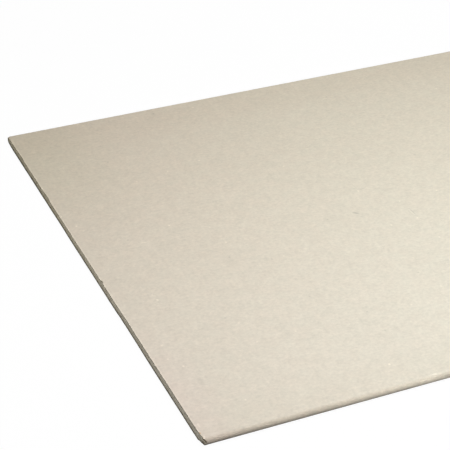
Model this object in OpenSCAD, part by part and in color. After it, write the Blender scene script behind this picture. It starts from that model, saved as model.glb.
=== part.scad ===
// Drywall sheet: a paper-faced gypsum board lying on its back.
// X runs along the wrapped long edges, Y across the width, Z up through the face.
// Lengths are in millimetres.

/* [Board] */
// Length of the board, from cut end to cut end
board_length = 1200; // [600:10:3000]
// Width of the board, over its two rounded long edges
board_width = 600; // [300:10:1250]
// Thickness of the board, over both papers
board_thickness = 9.5; // [6:0.5:25]

/* [Broken corner] */
// How far the break runs along the cut end
break_along_end = 15; // [6:0.5:60]
// How far the break runs along the long edge
break_along_edge = 3.8; // [1:0.1:30]
// How far the break leans back under the face, in degrees
break_lean = 8; // [0:1:30]

/* [Nick in the end] */
// Distance of the nick from the long edge with the broken corner
nick_from_edge = 264; // [80:1:280]
// Width of the nick along the end
nick_width = 3; // [1:0.1:5]

/* [Hidden] */
$fn = 96;
paper_color = [0.84, 0.80, 0.73];
edge_radius = board_thickness / 2;
end_x = -board_length / 2;
edge_y = -board_width / 2;
break_angle = atan(break_along_edge / break_along_end);
break_reach = 2 * (break_along_end + break_along_edge + board_thickness);

// Cross-section: flat faces between two half-round edges
module section() {
    for (side = [-1, 1]) {
        translate([side * (board_width / 2 - edge_radius), 0]) {
            circle(r = edge_radius);
        }
    }
    square([board_width - 2 * edge_radius, board_thickness], center = true);
}

// Whole board, with both ends cut square
module board_blank() {
    translate([end_x, 0, edge_radius]) {
        rotate([90, 0, 90]) {
            linear_extrude(board_length) {
                section();
            }
        }
    }
}

// Space of the missing corner: its plane meets the end and the long edge at half thickness
module corner_break() {
    translate([end_x, edge_y + break_along_end, edge_radius]) {
        rotate([0, 0, break_angle]) {
            rotate([0, -break_lean, 0]) {
                translate([-break_reach, -break_reach, -break_reach]) {
                    cube([break_reach, 2 * break_reach, 2 * break_reach]);
                }
            }
        }
    }
}

// Small chip out of the face side of the end
module end_nick() {
    translate([end_x, edge_y + nick_from_edge, board_thickness]) {
        sphere(d = nick_width);
    }
}

module drywall_sheet() {
    color(paper_color) {
        difference() {
            board_blank();
            corner_break();
            end_nick();
        }
    }
}

drywall_sheet();
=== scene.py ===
"""Drywall sheet on a pale floor: paper faces, wrapped edges, cut gypsum ends and a broken corner."""
import math

import bpy
import numpy as np
from mathutils import Matrix, Vector


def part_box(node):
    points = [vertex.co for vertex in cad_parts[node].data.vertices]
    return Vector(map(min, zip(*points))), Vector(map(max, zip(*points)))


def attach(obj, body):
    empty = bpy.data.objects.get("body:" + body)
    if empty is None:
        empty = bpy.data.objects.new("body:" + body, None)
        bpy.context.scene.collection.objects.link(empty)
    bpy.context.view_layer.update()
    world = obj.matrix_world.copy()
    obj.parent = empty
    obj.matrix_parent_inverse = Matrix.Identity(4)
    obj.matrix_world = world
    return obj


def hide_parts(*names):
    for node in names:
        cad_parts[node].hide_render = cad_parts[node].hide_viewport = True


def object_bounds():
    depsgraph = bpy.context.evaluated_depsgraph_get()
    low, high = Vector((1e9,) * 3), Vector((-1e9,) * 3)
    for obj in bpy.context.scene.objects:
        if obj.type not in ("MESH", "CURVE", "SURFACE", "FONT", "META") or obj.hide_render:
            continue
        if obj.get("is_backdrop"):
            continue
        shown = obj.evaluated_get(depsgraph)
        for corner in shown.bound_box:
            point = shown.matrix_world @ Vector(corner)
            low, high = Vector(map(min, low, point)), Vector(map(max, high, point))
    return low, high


MM = 0.001

# Broken corner and nick, as in the part's source
BREAK_ALONG_END = 15 * MM
BREAK_ALONG_EDGE = 3.8 * MM
BREAK_LEAN = math.radians(8)
NICK_FROM_EDGE = 264 * MM
NICK_RADIUS = 1.5 * MM

# Papers, and the face paper's laps on the underside
PLY = 0.45 * MM
LAP_WIDTH = 21 * MM
LAP_STEP = 0.25 * MM

# Torn paper at the broken corner: heights, and how far behind the break it lies there
FLAP_HEIGHTS = [h * MM for h in (0, 1.4, 4.75, 6.4, 7.7, 8.2, 8.9, 9.2, 9.5)]
FLAP_DEPTHS = [d * MM for d in (-1.7, -1.5, -0.1, 0.15, -0.4, -1.2, -1.4, -1.1, -0.7)]

# Chip in the broken corner's lower arris: full up to one height, gone at the other
TIP_CHIP_FROM_EDGE = 8 * MM
TIP_CHIP_HALF_LENGTH = 5 * MM
TIP_CHIP_DEPTH = 0.7 * MM
TIP_CHIP_FULL = 0.8 * MM
TIP_CHIP_TOP = 3.2 * MM

# Crack along the middle of the broken core: full to one distance from the near edge, gone at the other
CRACK_DEPTH = 0.5 * MM
CRACK_HEIGHT = 5.3 * MM
CRACK_HALF_WIDTH = 0.8 * MM
CRACK_FULL = 5.4 * MM
CRACK_END = 6.6 * MM

# Paper torn away beside the nick: it starts at one height and is full at the other
NICK_TEAR_BESIDE = 1.8 * MM
NICK_TEAR_HALF_LENGTH = 2.4 * MM
NICK_TEAR_DEPTH = 1.4 * MM
NICK_TEAR_START = 7.0 * MM
NICK_TEAR_FULL = 8.5 * MM

# Core crumbled away behind the nick
HOLLOW_DEPTH = 2.4 * MM
HOLLOW_HALF_LENGTH = 1.5 * MM
HOLLOW_HALF_HEIGHT = 1.7 * MM

# Face's arris pressed down at the far corner of the broken end
CRUSH_DEPTH = 1.2 * MM
CRUSH_FROM_END = 2.4 * MM
CRUSH_LENGTH = 18 * MM
CRUSH_FADE = 10 * MM

# Shallows in the broken end's cut, in mm: across from the middle, half length, depth at face and back
SHALLOWS = [
    (295, 4, 0.0, 0.35),
    (242, 9, 0.55, 0.0),
    (148, 10, 0.85, 0.15),
    (108, 24, 0.05, 0.22),
    (-51, 7, 0.13, 0.0),
    (-86, 6, 0.0, 0.25),
    (-100, 16, 0.12, 0.20),
    (-111, 7, 0.20, 0.0),
    (-130, 26, 0.20, 0.30),
    (-287, 6, 0.15, 0.0),
    (-292, 2.5, 0.65, 0.0),
]

# Unevenness of the cuts: seed, spacing, and 1 where it varies with height
UNEVENNESS = {
    "wave": (11, 17 * MM, 0),
    "ripple": (12, 4.5 * MM, 1),
    "lumps": (13, 2.6 * MM, 1),
    "grit": (14, 1.1 * MM, 1),
    "score": (15, 0.9 * MM, 0),
    "fracture": (16, 1.7 * MM, 1),
    "tear": (17, 2.2 * MM, 1),
    "fray": (18, 0.9 * MM, 1),
}
# Random values of one noise, along and up, and a shift that keeps its places positive
NOISE_VALUES = (512, 64)
NOISE_SHIFT = 1000

# How far in from the end each cut lies, and how much each unevenness changes that
PAPER_IN = 0.06 * MM
PAPER_RELIEF = {"wave": 0.05 * MM, "ripple": 0.03 * MM}
TORN_RELIEF = {"tear": 0.15 * MM, "fray": 0.17 * MM}
CORE_IN = 0.42 * MM
CORE_RELIEF = {"wave": 0.08 * MM, "lumps": 0.07 * MM, "grit": 0.08 * MM, "score": 0.06 * MM}
BROKEN_CORE_IN = 0.30 * MM
BROKEN_CORE_RELIEF = {"fracture": 0.30 * MM}
NICK_CORE_IN = 0.2 * MM
# Least step from the papers' edge down to the core
CORE_STEP = 0.03 * MM

# Rows of the skin, by distance from each cut end
SKIN_ROWS = [d * MM for d in (0, 0.35, 0.9, 1.8, 3.2, 5.5, 9, 15, 25, 42, 70, 115, 180, 260, 360, 480)]
# Distance over which the skin's rows close up behind an uneven end
CLOSE_UP = 42 * MM
# Steps of the skin across the board, and half lengths of its fine stretches at the laps and the nick
CORNER_STEP = 0.36 * MM
PLAIN_STEP = 1.0 * MM
NICK_STEP = 0.35 * MM
FAR_STEP = 0.8 * MM
LAP_EDGE = 0.03 * MM
NICK_STRETCH = 5 * MM
# Steps round a quarter of a long edge
NOSE_STEPS = 18
# Rows of the cut core, as shares of its half height
CORE_ROWS = [-0.95, -0.86, -0.74, -0.6, -0.45, -0.3, -0.15, 0, 0.15, 0.3, 0.45, 0.6, 0.74, 0.86, 0.95]
# Edges of the skin that turn by more than this look sharp
SHARP_ANGLE = math.radians(35)

# Marks on the face: from the broken end, across, half length and half width in mm, turn, change of tone
FACE_MARKS = [
    (10.5, 76, 1.2, 1.3, 0, 0.28),
    (19, 61, 1.6, 1.0, 0, 0.05),
    (40, -86, 1.4, 2.6, 0, 0.17),
    (64, 17.5, 4.2, 1.3, -15, 0.14),
    (17, -158, 1.8, 1.6, 0, 0.15),
    (23.5, -196, 1.3, 1.7, 0, 0.17),
    (199, -268, 1.3, 1.6, 0, 0.22),
    (318, -53, 1.3, 1.8, 0, 0.20),
    (318.5, 24, 1.2, 2.0, 0, 0.19),
    (294.5, -16.5, 4.4, 1.6, -43, -0.26),
    (352, -38, 9.0, 0.8, -88, -0.12),
    (350.5, -38.5, 8.0, 0.8, -88, 0.09),
    (319, 38.5, 16.0, 0.7, -87, -0.07),
    (326, 27, 7.0, 0.7, 18, -0.09),
    (29.5, -223, 4.0, 7.0, 0, -0.055),
    (2.5, -297, 1.2, 1.8, 0, 0.21),
    (7, 295, 1.1, 1.5, 0, -0.18),
    (5, 293.5, 1.0, 3.5, 0, -0.06),
    (2, 281, 1.2, 11.0, 0, 0.09),
    (3.5, -33, 1.0, 3.0, 0, 0.08),
    (416, 72, 2.0, 2.6, 0, -0.12),
    (291.5, -96.5, 1.8, 2.4, 0, -0.09),
    (5.5, 275.5, 1.6, 3.0, 0, 0.08),
    (16, 249, 3.0, 4.5, 0, 0.06),
    (38.5, -76, 1.2, 1.6, 0, 0.14),
    (4, -280, 1.2, 4.0, 0, 0.12),
    (308, -174, 1.2, 1.6, 0, 0.13),
    (297, 179.5, 1.2, 1.8, 0, 0.12),
]
# Torn brown fibres at the face paper's edge, and painted shade in the nick, the same way
FIBRE_MARKS = [(0.8, -290.6, 1.1, 1.4, 0, 1.0)]
NICK_SHADE_MARKS = [(1.2, -35.2, 2.6, 2.4, 0, 1.0)]
# Shares of its half length where a mark is full and where it ends, and its reach down from the face
MARK_FULL = 0.35
MARK_END = 1.15
MARK_REACH = 2 * MM

# Specks scattered over the paper: patch that may hold one, and radii where it is full and where it ends
SPECK_PATCH = 42 * MM
SPECK_FULL = 0.5 * MM
SPECK_END = 1.5 * MM
# Share of the patches with each kind of speck, their tones, and the weakest against the strongest
SPECK_SHARE = 0.22
PALE_SPECK = 0.21
DARK_SPECK = 0.19
WEAKEST_SPECK = 0.25

# Painted tints of the light and shade across the sheet: colour, then in mm its reach from the broken end
# and where across it starts and is full
FACE_LIGHT_TINTS = [
    ((1.027, 0.991, 0.997), 400, -400, -300),
    ((1.0, 0.966, 0.932), 5000, -300, 300),
    ((0.962, 0.982, 0.95), 140, 40, 240),
    ((1.014, 0.982, 1.0), 50, -80, -240),
    ((0.99, 0.977, 0.969), 5000, 205, 275),
    ((0.985, 0.985, 0.98), 5000, -245, -290),
]
# Painted tints of the light on the core, the same way
CORE_LIGHT_TINTS = [
    ((1.0, 0.975, 0.86), 5000, -300, 300),
    ((1.03, 1.03, 1.03), 140, 40, 240),
]

# Papers: colour, and how strongly the flocks of pulp and the fibres show
FACE_COLOR = (0.657, 0.617, 0.519)
FACE_FLOCKS = 0.18
FACE_FIBRES = 0.31
BACK_COLOR = (0.40, 0.355, 0.285)
BACK_FLOCKS = 0.14
BACK_FIBRES = 0.20
TORN_FIBRE_COLOR = (0.50, 0.335, 0.165)

# Paper's texture
CLOUD = {"size": 60 * MM, "detail": 1.0}
CLOUD_SWING = 0.03
FLOCK = {"size": 11 * MM, "detail": 2.0, "rough": 0.75}
FLOCK_BUMP = {"depth": 0.10 * MM, "strength": 0.4}
FIBRE = {"size": 3.2 * MM, "detail": 2.0, "rough": 0.7}
FIBRE_STRETCH = (0.85, 1.0, 1.0)
FIBRE_BUMP = {"depth": 0.05 * MM, "strength": 0.5}
HUE = {"size": 14 * MM, "detail": 1.0}
HUE_RANGE = (0.25, 0.75)
PINK = (1.004, 0.997, 0.995)
GREEN = (0.996, 1.003, 1.003)
PAPER_ROUGHNESS = {"low": 0.2, "high": 0.8, "to_low": 0.80, "to_high": 0.92}
PAPER_SPECULAR = 0.25

# Painted highlight on the paper along the cut ends: reach, more of it where frayed, shares where it fades,
# and tone
HIGHLIGHT_FRAY = {"size": 0.9 * MM, "detail": 2.0}
HIGHLIGHT_REACH = 0.95 * MM
HIGHLIGHT_FRAY_REACH = 0.7 * MM
HIGHLIGHT_FADE = (0.5, 1.5)
HIGHLIGHT_TONE = 0.09

# Painted shade low on the long edges: in from the side, strength by distance from the end, heights, and a
# painted warm tint of the shade over the edge
EDGE_START = 3.2 * MM
EDGE_FULL = 0.8 * MM
EDGE_SHADE_FROM_END = (10 * MM, 38 * MM)
EDGE_SHADE = (0.70, 0.52)
EDGE_SHADE_FADE = (2.6 * MM, 5.3 * MM)
EDGE_SHADE_TINT = (1.012, 0.985, 0.955)
# Painted shade on a strip of paper over the far edge, where it curves away from the light
FAR_STRIP_START = 6 * MM
FAR_STRIP_FULL = 3 * MM
FAR_STRIP_SHADE = 0.055

# Painted shade in the broken corner: heights in the crack and low down, and reach along the end and the
# edge
CRACK_SHADE_RISE = (3.8 * MM, 4.6 * MM)
CRACK_SHADE_FADE = (6.2 * MM, 7.0 * MM)
LOW_BREAK_SHADE_FADE = (2.5 * MM, 3.2 * MM)
LOW_BREAK_SHADE = 0.8
CORNER_SHADE_ALONG_END = (5.6 * MM, 7.4 * MM)
CORNER_SHADE_ALONG_EDGE = (8 * MM, 10 * MM)
BREAK_SHADE_COLOR = (0.32, 0.265, 0.20)

# Painted shade on the cut ends: low down towards the far edge, and over the far tip
LOW_END_SHADE = 0.30
LOW_END_SHADE_ACROSS = (100 * MM, 220 * MM)
LOW_END_SHADE_FADE = (1.4 * MM, 2.9 * MM)
TIP_SHADE = 0.28
TIP_SHADE_START = 9 * MM
TIP_SHADE_FULL = 3 * MM

# Cut edge of the papers
PLY_BROWN = (0.44, 0.365, 0.265)
PLY_GREY = (0.56, 0.50, 0.39)
PLY_LAYERS = {"size": 0.8 * MM, "detail": 3.0}
PLY_STRETCH = (1.0, 0.12, 4.0)
PLY_RANGE = (0.35, 0.65)
PLY_BUMP = {"depth": 0.15 * MM, "strength": 0.6}
PLY_FRAY = {"size": 1.6 * MM, "detail": 2.0}
PLY_FRAY_SWING = 0.3
# Darker low down: partly the back paper's darker edge, partly painted shade
PLY_LOW_TONE = 0.5
PLY_LOW_TOP = 4 * MM
# Painted shade in the broken corner and the nick, on the papers' cut edge
PLY_BREAK_SHADE = 0.5
PLY_ROUGHNESS = 0.95

# Cut gypsum: colours, lumps, upright score marks and air pits
CORE_PALE = (0.778, 0.752, 0.672)
CORE_DULL = (0.722, 0.693, 0.616)
LUMP = {"size": 3.5 * MM, "detail": 3.0, "rough": 0.6}
LUMP_RANGE = (0.3, 0.7)
SCORE = {"size": 0.8 * MM, "detail": 2.0}
SCORE_STRETCH = (1.0, 1.0, 0.12)
SCORE_SWING = 0.24
SCORE_BUMP = {"depth": 0.20 * MM, "strength": 0.6}
PIT_SPACING = 1.3 * MM
PIT_RANGE = (0.10, 0.30)
PIT_SHADE = 0.30
PIT_BUMP = {"depth": 0.35 * MM, "strength": 0.7}
CORE_ROUGHNESS = 0.97
CUT_SPECULAR = 0.1

# Darker parts of the core: high up towards the near edge, and painted shade at its foot and at its head
# under the paper
UPPER_DARKENING = 0.25
UPPER_DARKENING_ACROSS = (-190 * MM, 0.0)
UPPER_DARKENING_HEIGHTS = (5.2 * MM, 6.8 * MM)
CORE_FOOT_SHADE = 0.66
CORE_FOOT_SHADE_HEIGHTS = (0.4 * MM, 3.4 * MM)
CORE_HEAD_SHADE = 0.8
CORE_HEAD_SHADE_HEIGHTS = (7.4 * MM, 8.9 * MM)

# Camera, from the end's middle at floor level
CAMERA_FROM_END = (-380.31 * MM, -1236.39 * MM, 850.75 * MM)
CAMERA_AZIMUTH = math.radians(-23.174)
CAMERA_ELEVATION = math.radians(31.690)
CAMERA_LENS_MM = 120.97
CAMERA_SENSOR_MM = 36.0
CAMERA_CLIP = (0.05, 50.0)

# Lamps, from the end's middle at floor level: place, target, size, spread in degrees, watts, colour
LAMPS = {
    "soft_lamp": ((0.447, -0.302, 1.38), (0.768, -0.442, 0.0), 0.6, 180, 25.8, (0.985, 0.995, 1.0)),
    "edge_lamp": ((0.55, -1.6, 0.10), (0.35, -0.30, 0.0), 0.25, 33, 0.28, (1.0, 1.0, 1.0)),
    "edge_fill_lamp": ((1.05, -1.6, 0.10), (0.85, -0.30, 0.0), 0.25, 36, 0.268, (1.0, 1.0, 1.0)),
    "end_lamp": ((-0.9, -0.2, 0.14), (0.0, 0.0, 0.0), 0.25, 180, 1.42, (1.0, 0.90, 0.72)),
    "plain_end_lamp": ((2.1, 0.1, 0.08), (1.2, 0.0, 0.0), 0.25, 180, 1.1, (1.0, 0.94, 0.84)),
    "far_edge_lamp": ((0.7, 1.7, 0.08), (0.7, 0.3, 0.0), 0.25, 90, 1.1, (1.0, 1.0, 1.0)),
}
AMBIENT_COLOR = (1.0, 0.92, 0.82)
AMBIENT_STRENGTH = 0.02

# Floor and backdrop
FLOOR_HALF = 8.0
FLOOR_DROP = 0.2 * MM
FLOOR_COLOR = (0.50, 0.50, 0.50)
FLOOR_ROUGHNESS = 0.9
FLOOR_GLOW = 1.02
FLOOR_GLOW_SHARE = 0.96
BACKDROP_STRENGTH = 1.0
WHITE = (1.0, 1.0, 1.0)


def fade(value, start, stop):
    """Share from 0 at start to 1 at stop, held at both ends."""
    return np.clip((value - start) / (stop - start), 0, 1)


def bell(value, middle, half):
    """Smooth hump of height 1 round the middle."""
    return np.exp(-(((value - middle) / half) ** 2))


def lattice_noise(seed, spacing, by_height):
    """Smooth noise from -1 to 1 over a cut end, with one random value every spacing metres."""
    values = np.random.default_rng(seed).uniform(-1, 1, NOISE_VALUES)
    along, up = NOISE_VALUES

    def value(i, j):
        return values[i % along, j % up]

    def at(y, z):
        u = np.asarray(y, float) / spacing + NOISE_SHIFT
        v = np.asarray(z, float) * by_height / spacing + NOISE_SHIFT
        i, j = np.floor(u).astype(int), np.floor(v).astype(int)
        s, t = u - i, v - j
        s, t = s * s * (3 - 2 * s), t * t * (3 - 2 * t)
        low = value(i, j) * (1 - s) + value(i + 1, j) * s
        high = value(i, j + 1) * (1 - s) + value(i + 1, j + 1) * s
        return low * (1 - t) + high * t

    return at


class Board:
    """The sheet's real size and its surfaces, in metres."""

    def __init__(self, low, high):
        self.low, self.high = low, high
        self.width = high[1] - low[1]
        self.thickness = high[2] - low[2]
        self.radius = self.thickness / 2
        self.near, self.far = low[1], -low[1]
        self.nick_y = self.near + NICK_FROM_EDGE
        self.noise = {kind: lattice_noise(*values) for kind, values in UNEVENNESS.items()}

    def columns(self):
        """Distances across the flat of the board, closer together at the broken corner and the nick."""
        near_lap, far_lap = self.near + LAP_WIDTH, self.far - LAP_WIDTH
        stretches = [
            (near_lap - LAP_EDGE, CORNER_STEP),
            (near_lap + LAP_EDGE, 2 * LAP_EDGE),
            (self.nick_y - NICK_STRETCH, PLAIN_STEP),
            (self.nick_y + NICK_STRETCH, NICK_STEP),
            (far_lap - LAP_EDGE, PLAIN_STEP),
            (far_lap + LAP_EDGE, 2 * LAP_EDGE),
            (self.far - self.radius, FAR_STEP),
        ]
        y = [np.array([self.near + self.radius])]
        for stop, step in stretches:
            start = y[-1][-1]
            count = max(1, round((stop - start) / step))
            y.append(np.linspace(start, stop, count + 1)[1:])
        return np.concatenate(y)

    def outline(self, inset):
        """Upper and lower line of the section, inset from the surface: y and both heights by column."""
        flat = self.columns()
        turn = np.linspace(0, math.pi / 2, NOSE_STEPS + 1)[:-1]
        nose = self.radius - inset
        y = np.concatenate([flat[0] - nose * np.cos(turn), flat, flat[-1] + nose * np.cos(turn[::-1])])
        rise = np.concatenate([np.sin(turn), np.ones(len(flat)), np.sin(turn[::-1])])
        lap = np.abs(y) > self.width / 2 - LAP_WIDTH
        upper = self.radius + nose * rise
        lower = self.radius - (nose - LAP_STEP * lap) * rise
        return y, upper, lower

    def uneven(self, relief, y, z):
        """Sum of several kinds of unevenness at points of the section."""
        return sum(depth * self.noise[kind](y, z) for kind, depth in relief.items())

    def break_depth(self, y, z):
        """How far the break reaches in from the end at a point of the section; negative where it misses."""
        slope = BREAK_ALONG_EDGE / BREAK_ALONG_END
        lean = math.tan(BREAK_LEAN) * math.hypot(1, slope)
        return BREAK_ALONG_EDGE - (y - self.near) * slope - (z - self.radius) * lean

    def torn_depth(self, y, z):
        """Depth of the broken surface with its torn paper and its chipped lower arris."""
        chip = TIP_CHIP_DEPTH * bell(y - self.near, TIP_CHIP_FROM_EDGE, TIP_CHIP_HALF_LENGTH)
        chip = chip * fade(z, TIP_CHIP_TOP, TIP_CHIP_FULL)
        return self.break_depth(y, z) + np.interp(z, FLAP_HEIGHTS, FLAP_DEPTHS) + chip

    def crack_depth(self, y, z):
        """Crack along the middle of the broken core."""
        along = fade(y - self.near, CRACK_END, CRACK_FULL)
        return CRACK_DEPTH * along * bell(z, CRACK_HEIGHT, CRACK_HALF_WIDTH)

    def shallow_depth(self, y, z):
        """Waves of the broken end's cut line."""
        share = z / self.thickness
        return MM * sum(
            bell(y / MM, across, half) * (face * share + back * (1 - share))
            for across, half, face, back in SHALLOWS
        )

    def nick_depth(self, y, z):
        """Depth of the small nick in the face side of the end, and of the paper torn away beside it."""
        left = NICK_RADIUS**2 - (y - self.nick_y) ** 2 - (self.thickness - z) ** 2
        torn = NICK_TEAR_DEPTH * bell(y - self.nick_y, NICK_TEAR_BESIDE, NICK_TEAR_HALF_LENGTH)
        torn = torn * fade(z, NICK_TEAR_START, NICK_TEAR_FULL)
        return np.maximum(np.sqrt(np.maximum(left, 0)), torn)

    def hollow_depth(self, y, z):
        """Core crumbled away behind the nick."""
        across = bell(y, self.nick_y, HOLLOW_HALF_LENGTH)
        return HOLLOW_DEPTH * across * bell(z, self.thickness, HOLLOW_HALF_HEIGHT)

    def crush(self, from_end, y):
        """How far the face's arris is pressed down at the far corner of the broken end."""
        start = self.far - CRUSH_LENGTH
        along = max(0.0, 1 - from_end / CRUSH_FROM_END) ** 2
        return CRUSH_DEPTH * fade(y, start, start + CRUSH_FADE) * along

    def paper_edge(self, y, z, damaged):
        """How far the papers' cut edge lies in from the end."""
        depth = np.maximum(PAPER_IN + self.uneven(PAPER_RELIEF, y, z), 0.0)
        if damaged:
            torn = self.torn_depth(y, z) + self.uneven(TORN_RELIEF, y, z)
            depth = np.maximum(depth + self.shallow_depth(y, z), torn)
            depth = np.maximum(depth, self.nick_depth(y, z))
        return depth

    def core_face(self, y, z, damaged):
        """How far the core's cut face lies in from the end."""
        depth = CORE_IN + self.uneven(CORE_RELIEF, y, z)
        if damaged:
            broken = self.torn_depth(y, z) + BROKEN_CORE_IN + self.uneven(BROKEN_CORE_RELIEF, y, z)
            depth = np.maximum(depth + self.shallow_depth(y, z), broken + self.crack_depth(y, z))
            depth = np.maximum(depth, self.nick_depth(y, z) + NICK_CORE_IN) + self.hollow_depth(y, z)
        return depth


# Material slots of the skin
PAPER, BACK, EDGE, CORE = range(4)


class Skin:
    """Points and faces of the sheet's skin while it is being made."""

    def __init__(self):
        self.points, self.faces, self.slots = [], [], []

    def row(self, x, y, z):
        """Adds a row of points and returns their numbers."""
        first = sum(len(row) for row in self.points)
        self.points.append(np.column_stack(np.broadcast_arrays(x, y, z)))
        return np.arange(first, first + len(y))

    def face(self, corners, slot, flip):
        """Adds one face, turned round where flip is set."""
        corners = [int(corner) for corner in corners]
        self.faces.append(corners[::-1] if flip else corners)
        self.slots.append(int(slot))

    def strip(self, one, two, slots, flip):
        """Faces between two closed loops."""
        slots = np.broadcast_to(slots, len(one))
        for k, slot in enumerate(slots):
            n = (k + 1) % len(one)
            self.face((one[k], one[n], two[n], two[k]), slot, flip)

    def patch(self, one, two, slot, flip):
        """Faces between two open lines that share their end points."""
        for k in range(len(one) - 1):
            corners = list(dict.fromkeys((one[k], two[k], two[k + 1], one[k + 1])))
            if len(corners) > 2:
                self.face(corners, slot, flip)

    def mesh(self, name):
        """The finished mesh."""
        mesh = bpy.data.meshes.new(name)
        mesh.from_pydata(np.concatenate(self.points).tolist(), [], self.faces)
        mesh.polygons.foreach_set("material_index", self.slots)
        mesh.validate(clean_customdata=False)
        mesh.update()
        return mesh


def closed_loop(y, upper, lower):
    """Section as one closed loop: along the face from near to far, and back along the underside."""
    return np.concatenate([y, y[-2:0:-1]]), np.concatenate([upper, lower[-2:0:-1]])


def wrap_paper(skin, board):
    """Papers round the board, row by row from the broken end; returns the loops at both ends."""
    y, upper, lower = board.outline(0)
    ring_y, ring_z = closed_loop(y, upper, lower)
    number = np.arange(len(ring_y))
    middle_y = (ring_y + np.roll(ring_y, -1)) / 2
    on_back = (number >= len(y) - 1) & (np.abs(middle_y) < board.width / 2 - LAP_WIDTH)
    slots = np.where(on_back, BACK, PAPER)
    lift = (number < len(y)) * (ring_z - board.radius) / board.radius

    def row(end, inward, distance, damaged):
        edge = board.paper_edge(ring_y, ring_z, damaged) * max(0.0, 1 - distance / CLOSE_UP)
        pressed = board.crush(distance, ring_y) * lift if damaged else 0.0
        return skin.row(end + inward * (distance + edge), ring_y, ring_z - pressed)

    rows = [row(board.low[0], 1, distance, True) for distance in SKIN_ROWS]
    rows += [row(board.high[0], -1, distance, False) for distance in SKIN_ROWS][::-1]
    for one, two in zip(rows, rows[1:]):
        skin.strip(one, two, slots, True)
    return rows[0], rows[-1]


def cut_end(skin, board, outer, damaged):
    """One end: the papers' cut edges, the step down to the core, and the core's rough face."""
    end, inward = (board.low[0], 1) if damaged else (board.high[0], -1)
    flip = not damaged
    y, upper, lower = board.outline(PLY)
    count = len(y)
    lip = board.paper_edge(*closed_loop(y, upper, lower), damaged)
    if damaged:
        upper = upper - board.crush(0.0, y) * (upper - board.radius) / board.radius
    ring_y, ring_z = closed_loop(y, upper, lower)
    ply = skin.row(end + inward * lip, ring_y, ring_z)
    skin.strip(outer, ply, EDGE, flip)
    recess = np.maximum(board.core_face(ring_y, ring_z, damaged), lip + CORE_STEP)
    rim = skin.row(end + inward * recess, ring_y, ring_z)
    skin.strip(ply, rim, CORE, flip)

    top = rim[:count]
    bottom = np.concatenate([rim[:1], rim[count:][::-1], rim[count - 1 : count]])
    inside = slice(1, count - 1)
    core_y = y[inside]
    lines = [bottom]
    for share in CORE_ROWS:
        core_z = ((upper + lower) / 2 + share * (upper - lower) / 2)[inside]
        depth = board.core_face(core_y, core_z, damaged)
        line = bottom.copy()
        line[inside] = skin.row(end + inward * depth, core_y, core_z)
        lines.append(line)
    lines.append(top)
    for one, two in zip(lines, lines[1:]):
        skin.patch(one, two, CORE, flip)


def sheet_mesh(board):
    """The sheet's closed skin: papers, wrapped edges, and two ends where the papers' edges stand proud."""
    skin = Skin()
    broken_loop, plain_loop = wrap_paper(skin, board)
    cut_end(skin, board, broken_loop, True)
    cut_end(skin, board, plain_loop, False)
    return skin.mesh("sheet_skin")


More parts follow.
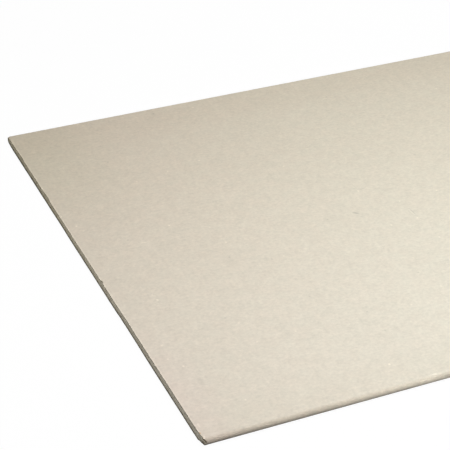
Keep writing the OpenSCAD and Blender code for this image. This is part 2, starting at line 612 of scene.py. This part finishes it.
class Nodes:
    """Short ways to add and join shader nodes."""

    # Places of the colour sockets on a mix node
    MIX_INPUTS = slice(6, 8)
    MIX_OUTPUT = 2

    def __init__(self, tree):
        self.tree = tree

    def put(self, socket, value):
        """Joins a socket to another one, or sets its value."""
        if isinstance(value, bpy.types.NodeSocket):
            self.tree.links.new(value, socket)
        else:
            socket.default_value = value

    def add(self, kind, **values):
        """A new node with its inputs set by name."""
        node = self.tree.nodes.new("ShaderNode" + kind)
        for name, value in values.items():
            self.put(node.inputs[name.replace("_", " ")], value)
        return node

    def place(self):
        """Places on the object, in metres."""
        return self.add("TexCoord").outputs["Object"]

    def axes(self, vector):
        """The three parts of a vector."""
        return self.add("SeparateXYZ", Vector=vector).outputs

    def stretch(self, vector, scale):
        """Places scaled by a factor along each axis."""
        return self.add("Mapping", Vector=vector, Scale=scale).outputs[0]

    def noise(self, vector, size, detail=2.0, rough=0.5):
        """Noise with features about size metres across, from 0 to 1."""
        node = self.add("TexNoise", Vector=vector, Scale=1 / size, Detail=detail, Roughness=rough)
        return node.outputs[0]

    def maths(self, kind, one, two=0.0, three=0.0):
        """Result of one maths node."""
        node = self.tree.nodes.new("ShaderNodeMath")
        node.operation = kind
        for socket, value in zip(node.inputs, (one, two, three)):
            self.put(socket, value)
        return node.outputs[0]

    def product(self, first, *others):
        """All the values multiplied."""
        for value in others:
            first = self.maths("MULTIPLY", first, value)
        return first

    def swing(self, value, amount, middle=1.0):
        """A value from 0 to 1 spread evenly round the middle, over the amount."""
        return self.maths("MULTIPLY_ADD", value, amount, middle - amount / 2)

    def ramp(self, value, low, high, to_low=0.0, to_high=1.0):
        """Value from low to high carried over to to_low to to_high, smoothly and held at both ends."""
        node = self.tree.nodes.new("ShaderNodeMapRange")
        node.interpolation_type = "SMOOTHSTEP"
        for socket, setting in zip(node.inputs, (value, low, high, to_low, to_high)):
            self.put(socket, setting)
        return node.outputs[0]

    def mix(self, share, one, two, kind="MIX"):
        """Two colours mixed by a share."""
        node = self.tree.nodes.new("ShaderNodeMix")
        node.data_type = "RGBA"
        node.blend_type = kind
        self.put(node.inputs[0], share)
        for socket, value in zip(node.inputs[self.MIX_INPUTS], (one, two)):
            self.put(socket, value if isinstance(value, bpy.types.NodeSocket) else (*value, 1.0))
        return node.outputs[self.MIX_OUTPUT]

    def mix_shaders(self, share, one, two):
        """Two shaders mixed by a share."""
        node = self.add("MixShader", Fac=share)
        for socket, shader in zip(node.inputs[1:], (one, two)):
            self.put(socket, shader.outputs[0])
        return node.outputs[0]

    def seen(self):
        """1 where the picture shows the surface itself, 0 where it only lights others."""
        return self.add("LightPath").outputs["Is Camera Ray"]

    def brighten(self, color, amount):
        """Colour times a number that varies round 1."""
        node = self.tree.nodes.new("ShaderNodeVectorMath")
        node.operation = "SCALE"
        self.put(node.inputs[0], color)
        self.put(node.inputs["Scale"], amount)
        return node.outputs[0]

    def bump(self, height, depth, strength, normal=None):
        """Relief of a height from 0 to 1, over an earlier relief if there is one."""
        node = self.add("Bump", Height=height, Distance=depth, Strength=strength)
        if normal:
            self.put(node.inputs["Normal"], normal)
        return node.outputs[0]

    def marks(self, place, board, table):
        """Soft oval marks on the face side, each as strong as its tone."""
        total = 0.0
        for x, y, length, width, turn, tone in table:
            spot = self.tree.nodes.new("ShaderNodeMapping")
            spot.vector_type = "TEXTURE"
            self.put(spot.inputs["Vector"], place)
            spot.inputs["Location"].default_value = (board.low[0] + x * MM, y * MM, board.high[2])
            spot.inputs["Rotation"].default_value = (0, 0, math.radians(turn))
            spot.inputs["Scale"].default_value = (length * MM, width * MM, MARK_REACH)
            span = self.tree.nodes.new("ShaderNodeVectorMath")
            span.operation = "LENGTH"
            self.put(span.inputs[0], spot.outputs[0])
            mark = self.ramp(span.outputs["Value"], MARK_FULL, MARK_END, tone, 0.0)
            total = self.maths("ADD", total, mark)
        return total

    def specks(self, place):
        """Pale and dark specks scattered over the paper, as changes of tone."""
        patches = self.tree.nodes.new("ShaderNodeTexVoronoi")
        patches.voronoi_dimensions = "2D"
        self.put(patches.inputs["Vector"], place)
        patches.inputs["Scale"].default_value = 1 / SPECK_PATCH
        pick, strength = self.axes(patches.outputs["Color"])[:2]
        pale = self.maths("MULTIPLY", self.maths("LESS_THAN", pick, SPECK_SHARE), PALE_SPECK)
        dark = self.maths("MULTIPLY", self.maths("GREATER_THAN", pick, 1 - SPECK_SHARE), DARK_SPECK)
        tone = self.maths("SUBTRACT", pale, dark)
        strength = self.maths("MULTIPLY_ADD", strength, 1 - WEAKEST_SPECK, WEAKEST_SPECK)
        full, end = SPECK_FULL / SPECK_PATCH, SPECK_END / SPECK_PATCH
        return self.product(tone, strength, self.ramp(patches.outputs["Distance"], full, end, 1.0, 0.0))

    def painted_break_shade(self, place, board):
        """Painted shade in the broken corner's crack and low in its core, and in the nick."""
        x, y, z = self.axes(place)
        in_crack = self.product(self.ramp(z, *CRACK_SHADE_RISE), self.ramp(z, *CRACK_SHADE_FADE, 1.0, 0.0))
        within = self.maths("MAXIMUM", in_crack, self.ramp(z, *LOW_BREAK_SHADE_FADE, LOW_BREAK_SHADE, 0.0))
        from_edge = self.ramp(y, *(board.near + reach for reach in CORNER_SHADE_ALONG_END), 1.0, 0.0)
        from_end = self.ramp(x, *(board.low[0] + reach for reach in CORNER_SHADE_ALONG_EDGE), 1.0, 0.0)
        corner = self.product(within, from_edge, from_end)
        return self.maths("MAXIMUM", corner, self.marks(place, board, NICK_SHADE_MARKS))

    def painted_light_tints(self, color, place, board, tints):
        """Colour times each painted tint of the light, which fades away from the broken end and grows
        across the board.
        """
        x, y = self.axes(place)[:2]
        for tint, reach, start, full in tints:
            along = self.ramp(x, board.low[0], board.low[0] + reach * MM, 1.0, 0.0)
            share = self.product(along, self.ramp(y, start * MM, full * MM))
            color = self.mix(share, color, tint, "MULTIPLY")
        return color

    def painted_end_shade(self, place, board):
        """Painted shade on the cut ends, low down towards the far edge and over the far tip: 1 where there
        is none.
        """
        y, z = self.axes(place)[1:]
        low = self.product(self.ramp(y, *LOW_END_SHADE_ACROSS), self.ramp(z, *LOW_END_SHADE_FADE, LOW_END_SHADE, 0.0))
        tip = self.ramp(y, board.far - TIP_SHADE_START, board.far - TIP_SHADE_FULL, 0.0, TIP_SHADE)
        return self.maths("SUBTRACT", 1.0, self.maths("MAXIMUM", low, tip))

    def from_end(self, place, board):
        """Distance from the nearer cut end."""
        x = self.axes(place)[0]
        return self.maths("SUBTRACT", board.high[0], self.maths("ABSOLUTE", x))


def new_material(name):
    """A node material with only its shader and output, and a helper that adds nodes."""
    material = bpy.data.materials.new(name)
    material.use_nodes = True
    tree = material.node_tree
    tree.nodes.clear()
    output = tree.nodes.new("ShaderNodeOutputMaterial")
    shader = tree.nodes.new("ShaderNodeBsdfPrincipled")
    tree.links.new(shader.outputs[0], output.inputs["Surface"])
    return material, shader, Nodes(tree)


def painted_end_highlight(nodes, place, board):
    """Painted highlight on the paper along the cut ends, as a change of tone."""
    fray = nodes.noise(place, **HIGHLIGHT_FRAY)
    reach = nodes.maths("MULTIPLY_ADD", fray, HIGHLIGHT_FRAY_REACH, HIGHLIGHT_REACH)
    share = nodes.maths("DIVIDE", nodes.from_end(place, board), reach)
    return nodes.ramp(share, *HIGHLIGHT_FADE, HIGHLIGHT_TONE, 0.0)


def edge_painted_shade(nodes, place, board):
    """Share of a long edge at each place, and how much painted shade it has there."""
    x, y, z = nodes.axes(place)
    half = board.width / 2
    edge = nodes.ramp(nodes.maths("ABSOLUTE", y), half - EDGE_START, half - EDGE_FULL)
    along = nodes.ramp(x, *(board.low[0] + reach for reach in EDGE_SHADE_FROM_END), *EDGE_SHADE)
    low = nodes.product(along, nodes.ramp(z, *EDGE_SHADE_FADE, 1.0, 0.0))
    return edge, nodes.product(edge, low)


def paper_material(name, board, color, flocks, fibres, face_marks=(), fibre_marks=()):
    """Matt paper: clouds, flocks of pulp, fibres, specks, marks, painted highlights along the cut ends,
    painted shade on the long edges and painted tints of the light.
    """
    material, shader, nodes = new_material(name)
    place = nodes.place()
    cloud = nodes.noise(place, **CLOUD)
    flock = nodes.noise(place, **FLOCK)
    fibre = nodes.noise(nodes.stretch(place, FIBRE_STRETCH), **FIBRE)
    tone = nodes.swing(cloud, CLOUD_SWING)
    tone = nodes.maths("ADD", tone, nodes.swing(flock, flocks, 0.0))
    tone = nodes.maths("ADD", tone, nodes.swing(fibre, fibres, 0.0))
    tone = nodes.maths("ADD", tone, nodes.specks(place))
    # painted highlight along the cut ends
    tone = nodes.maths("ADD", tone, painted_end_highlight(nodes, place, board))
    tone = nodes.maths("ADD", tone, nodes.marks(place, board, face_marks))

    # painted shade low on the long edges
    edge, edge_shade = edge_painted_shade(nodes, place, board)
    tone = nodes.maths("SUBTRACT", tone, edge_shade)
    y = nodes.axes(place)[1]
    # painted shade on the strip over the far edge
    far_strip = (board.far - FAR_STRIP_START, board.far - FAR_STRIP_FULL)
    tone = nodes.maths("SUBTRACT", tone, nodes.ramp(y, *far_strip, 0.0, FAR_STRIP_SHADE))

    hue = nodes.noise(place, **HUE)
    pink = [part * tint for part, tint in zip(color, PINK)]
    green = [part * tint for part, tint in zip(color, GREEN)]
    shade = nodes.mix(nodes.ramp(hue, *HUE_RANGE), pink, green)
    shade = nodes.mix(nodes.marks(place, board, fibre_marks), shade, TORN_FIBRE_COLOR)
    # painted tints of the light
    shade = nodes.painted_light_tints(shade, place, board, FACE_LIGHT_TINTS)
    # painted warm tint of the shade over the rounded long edges
    shade = nodes.mix(edge, shade, EDGE_SHADE_TINT, "MULTIPLY")
    nodes.put(shader.inputs["Base Color"], nodes.brighten(shade, tone))
    nodes.put(shader.inputs["Roughness"], nodes.ramp(fibre, **PAPER_ROUGHNESS))
    shader.inputs["Specular IOR Level"].default_value = PAPER_SPECULAR
    normal = nodes.bump(fibre, **FIBRE_BUMP)
    nodes.put(shader.inputs["Normal"], nodes.bump(flock, **FLOCK_BUMP, normal=normal))
    return material


def ply_material(name, board):
    """Cut edge of the papers: layered brown and grey pulp, darker low down, with painted shade in the
    broken corner, in the nick and on the ends.
    """
    material, shader, nodes = new_material(name)
    place = nodes.place()
    layers = nodes.noise(nodes.stretch(place, PLY_STRETCH), **PLY_LAYERS)
    color = nodes.mix(nodes.ramp(layers, *PLY_RANGE), PLY_BROWN, PLY_GREY)
    tone = nodes.product(
        nodes.swing(nodes.noise(place, **PLY_FRAY), PLY_FRAY_SWING),
        # darker low down: partly the back paper's darker edge, partly painted shade
        nodes.ramp(nodes.axes(place)[2], 0.0, PLY_LOW_TOP, PLY_LOW_TONE, 1.0),
        # painted shade in the broken corner and the nick
        nodes.maths("MULTIPLY_ADD", nodes.painted_break_shade(place, board), -PLY_BREAK_SHADE, 1.0),
        # painted shade on the cut ends
        nodes.painted_end_shade(place, board),
    )
    nodes.put(shader.inputs["Base Color"], nodes.brighten(color, tone))
    shader.inputs["Roughness"].default_value = PLY_ROUGHNESS
    shader.inputs["Specular IOR Level"].default_value = CUT_SPECULAR
    nodes.put(shader.inputs["Normal"], nodes.bump(layers, **PLY_BUMP))
    return material


def core_material(name, board):
    """Cut gypsum: pale, with air pits, fine upright score marks, darker high up towards the near edge,
    painted shade by the papers, in the broken corner, in the nick and on the ends, and painted tints of the
    light.
    """
    material, shader, nodes = new_material(name)
    place = nodes.place()
    y, z = nodes.axes(place)[1:]
    score = nodes.noise(nodes.stretch(place, SCORE_STRETCH), **SCORE)
    pits = nodes.add("TexVoronoi", Vector=place, Scale=1 / PIT_SPACING).outputs["Distance"]
    pit = nodes.ramp(pits, *PIT_RANGE)
    # darker high up towards the near edge
    upper_darkening = nodes.product(nodes.ramp(y, *UPPER_DARKENING_ACROSS, UPPER_DARKENING, 0.0), nodes.ramp(z, *UPPER_DARKENING_HEIGHTS))
    tone = nodes.product(
        nodes.swing(score, SCORE_SWING),
        nodes.maths("MULTIPLY_ADD", pit, PIT_SHADE, 1 - PIT_SHADE),
        nodes.maths("SUBTRACT", 1.0, upper_darkening),
        # painted shade at the core's foot
        nodes.ramp(z, *CORE_FOOT_SHADE_HEIGHTS, CORE_FOOT_SHADE, 1.0),
        # painted shade at the core's head under the paper
        nodes.ramp(z, *CORE_HEAD_SHADE_HEIGHTS, 1.0, CORE_HEAD_SHADE),
        # painted shade on the cut ends
        nodes.painted_end_shade(place, board),
    )
    lump = nodes.noise(place, **LUMP)
    color = nodes.mix(nodes.ramp(lump, *LUMP_RANGE), CORE_DULL, CORE_PALE)
    # painted tints of the light
    color = nodes.painted_light_tints(color, place, board, CORE_LIGHT_TINTS)
    # painted shade in the broken corner and the nick
    color = nodes.mix(nodes.painted_break_shade(place, board), color, BREAK_SHADE_COLOR)
    nodes.put(shader.inputs["Base Color"], nodes.brighten(color, tone))
    shader.inputs["Roughness"].default_value = CORE_ROUGHNESS
    shader.inputs["Specular IOR Level"].default_value = CUT_SPECULAR
    normal = nodes.bump(score, **SCORE_BUMP)
    nodes.put(shader.inputs["Normal"], nodes.bump(pit, **PIT_BUMP, normal=normal))
    return material


def floor_material():
    """Plain white floor that stays pale across the whole picture."""
    material, shader, nodes = new_material("floor_white")
    shader.inputs["Base Color"].default_value = (*FLOOR_COLOR, 1.0)
    shader.inputs["Roughness"].default_value = FLOOR_ROUGHNESS
    shader.inputs["Specular IOR Level"].default_value = 0.0
    glow = nodes.add("Emission", Color=(*WHITE, 1.0), Strength=FLOOR_GLOW)
    share = nodes.maths("MULTIPLY", nodes.seen(), FLOOR_GLOW_SHARE)
    output = next(node for node in nodes.tree.nodes if node.type == "OUTPUT_MATERIAL")
    nodes.put(output.inputs["Surface"], nodes.mix_shaders(share, shader, glow))
    return material


def add_object(name, data):
    """A new object in the scene."""
    thing = bpy.data.objects.new(name, data)
    bpy.context.scene.collection.objects.link(thing)
    return thing


def dress_sheet(board):
    """The sheet's finished skin, in place of its plain solid."""
    sheet = add_object("sheet_skin", sheet_mesh(board))
    materials = {
        PAPER: paper_material(
            "face_paper", board, FACE_COLOR, FACE_FLOCKS, FACE_FIBRES, FACE_MARKS, FIBRE_MARKS
        ),
        BACK: paper_material("back_paper", board, BACK_COLOR, BACK_FLOCKS, BACK_FIBRES),
        EDGE: ply_material("paper_edge", board),
        CORE: core_material("gypsum_core", board),
    }
    for slot in sorted(materials):
        sheet.data.materials.append(materials[slot])
    sheet.data.shade_smooth()
    sheet.data.set_sharp_from_angle(angle=SHARP_ANGLE)
    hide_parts("drywall_sheet")
    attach(sheet, "root")


def add_floor():
    """One wide plane just under the sheet."""
    sides = [(-1, -1), (1, -1), (1, 1), (-1, 1)]
    corners = [(FLOOR_HALF * x, FLOOR_HALF * y, -FLOOR_DROP) for x, y in sides]
    mesh = bpy.data.meshes.new("floor")
    mesh.from_pydata(corners, [], [(0, 1, 2, 3)])
    floor = add_object("floor", mesh)
    mesh.materials.append(floor_material())
    floor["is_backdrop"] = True


def studio_world():
    """Faint light from all round, and a white backdrop past the floor."""
    world = bpy.data.worlds.new("studio")
    world.use_nodes = True
    nodes = Nodes(world.node_tree)
    ambient = world.node_tree.nodes["Background"]
    ambient.inputs["Color"].default_value = (*AMBIENT_COLOR, 1.0)
    ambient.inputs["Strength"].default_value = AMBIENT_STRENGTH
    backdrop = nodes.add("Background", Color=(*WHITE, 1.0), Strength=BACKDROP_STRENGTH)
    output = world.node_tree.nodes["World Output"]
    nodes.put(output.inputs["Surface"], nodes.mix_shaders(nodes.seen(), ambient, backdrop))
    return world


def add_light(board):
    """Soft lamp above, weak lamps along the edges and ends, and plain colours in the picture."""
    scene = bpy.context.scene
    for name, (place, target, size, spread, power, color) in LAMPS.items():
        lamp = bpy.data.lights.new(name, "AREA")
        lamp.shape = "SQUARE"
        lamp.size = size
        lamp.spread = math.radians(spread)
        lamp.energy = power
        lamp.color = color
        holder = add_object(name, lamp)
        holder.visible_camera = False
        holder.location = Vector(place) + Vector((board.low[0], 0, 0))
        aim = Vector(target) - Vector(place)
        holder.rotation_euler = aim.to_track_quat("-Z", "Y").to_euler()
    scene.world = studio_world()
    scene.view_settings.view_transform = "Standard"
    scene.view_settings.look = "None"


def add_camera(board):
    """Camera at the photograph's viewing angle."""
    lens = bpy.data.cameras.new("camera")
    lens.lens = CAMERA_LENS_MM
    lens.sensor_width = CAMERA_SENSOR_MM
    lens.clip_start, lens.clip_end = CAMERA_CLIP
    camera = add_object("camera", lens)
    a, e = CAMERA_AZIMUTH, CAMERA_ELEVATION
    back = Vector((math.sin(a) * math.cos(e), -math.cos(a) * math.cos(e), math.sin(e)))
    right = Vector((math.cos(a), math.sin(a), 0))
    turn = Matrix((right, back.cross(right), back)).transposed()
    place = Vector(CAMERA_FROM_END) + Vector((board.low[0], 0, 0))
    camera.matrix_world = Matrix.Translation(place) @ turn.to_4x4()
    bpy.context.scene.camera = camera


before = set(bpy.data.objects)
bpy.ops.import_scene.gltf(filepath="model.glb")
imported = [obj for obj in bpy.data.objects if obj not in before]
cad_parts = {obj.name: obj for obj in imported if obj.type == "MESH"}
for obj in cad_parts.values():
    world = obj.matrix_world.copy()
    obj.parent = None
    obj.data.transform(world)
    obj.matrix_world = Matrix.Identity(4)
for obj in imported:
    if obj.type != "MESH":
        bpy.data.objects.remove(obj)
cad_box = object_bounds()
sheet_board = Board(*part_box("drywall_sheet"))
dress_sheet(sheet_board)
add_floor()
add_light(sheet_board)
add_camera(sheet_board)

boxes = {"cad": cad_box, "visual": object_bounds()}
{k: [[float(v) for v in corner] for corner in box] for k, box in boxes.items()}
